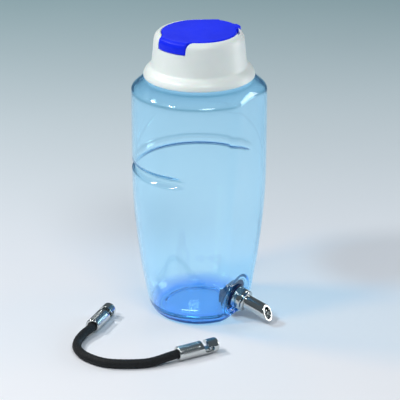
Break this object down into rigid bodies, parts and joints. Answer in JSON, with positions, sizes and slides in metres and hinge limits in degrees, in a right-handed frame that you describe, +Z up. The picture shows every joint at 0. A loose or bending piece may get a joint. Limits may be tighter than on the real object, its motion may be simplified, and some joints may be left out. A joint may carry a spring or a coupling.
{
  "type": "cage drinking bottle",
  "caption": "Rigid clear bottle with a flat face, screw cap with flip lid, sprung drinking nozzle and a loose elastic strap with slotted hooks.",
  "frame": {"origin": "on the bottle's axis, in the plane of the ring it stands on", "axes": "+Z up along the bottle; -Y out of the flat face, where the nozzle is; +X is the lid's hinge side"},
  "size_m": [0.1768, 0.1184, 0.223],
  "materials": {
    "bottle_clear": "clear blue, moulded",
    "cap_white": "satin white",
    "lid_blue": "satin vivid blue",
    "steel": "polished",
    "steel_satin": "satin",
    "seal_rubber": "matt",
    "seal_white": "matt",
    "cord_black": "braided"
  },
  "bodies": {
    "bottle": {"bottle_body": "bottle_clear", "outer_washer": "seal_rubber", "nozzle_hub": "steel", "hub_end_ring": "steel", "drinking_tube": "steel", "inner_washer": "seal_rubber", "lock_nut": "seal_rubber", "valve_seat_ring": "seal_rubber", "valve_spring": "steel_satin", "spring_retainer": "steel_satin"},
    "gasket": {"cap_gasket": "seal_white"},
    "cap": {"screw_cap": "cap_white", "hinge_pin": "steel_satin"},
    "lid": {"flip_lid": "lid_blue", "lid_seal": "seal_white"},
    "valve": {"valve_pin": "steel"},
    "strap": {"strap_cord": "cord_black", "hook_left": "steel", "hook_right": "steel", "crimp_left": "steel_satin", "crimp_right": "steel_satin"}
  },
  "joints": [
    {"name": "cap_lift", "type": "slide", "parent": "bottle", "child": "gasket", "axis": [0, 0, 1], "range_m": [0, 0.0081]},
    {"name": "cap_turn", "type": "hinge", "parent": "gasket", "child": "cap", "pos_m": [0, 0, 0.2], "axis": [0, 0, 1], "range_deg": [0, 720]},
    {"name": "lid_hinge", "type": "hinge", "parent": "cap", "child": "lid", "pos_m": [0.02525, -0.00355, 0.218], "axis": [0.1392, 0.9903, 0], "range_deg": [0, 105]},
    {"name": "valve_push", "type": "slide", "parent": "bottle", "child": "valve", "axis": [0, 0.9659, 0.2588], "range_m": [0, 0.0025], "stiffness_N_per_m": 200, "deforming": ["valve_spring"]},
    {"name": "strap_lift", "type": "slide", "parent": "bottle", "child": "strap", "axis": [0, 0, 1], "range_m": [0, 0.06]}
  ],
  "couplings": [
    {"joint": "cap_lift", "follows": "cap_turn", "m_per_rad": 0.00063662}
  ]
}
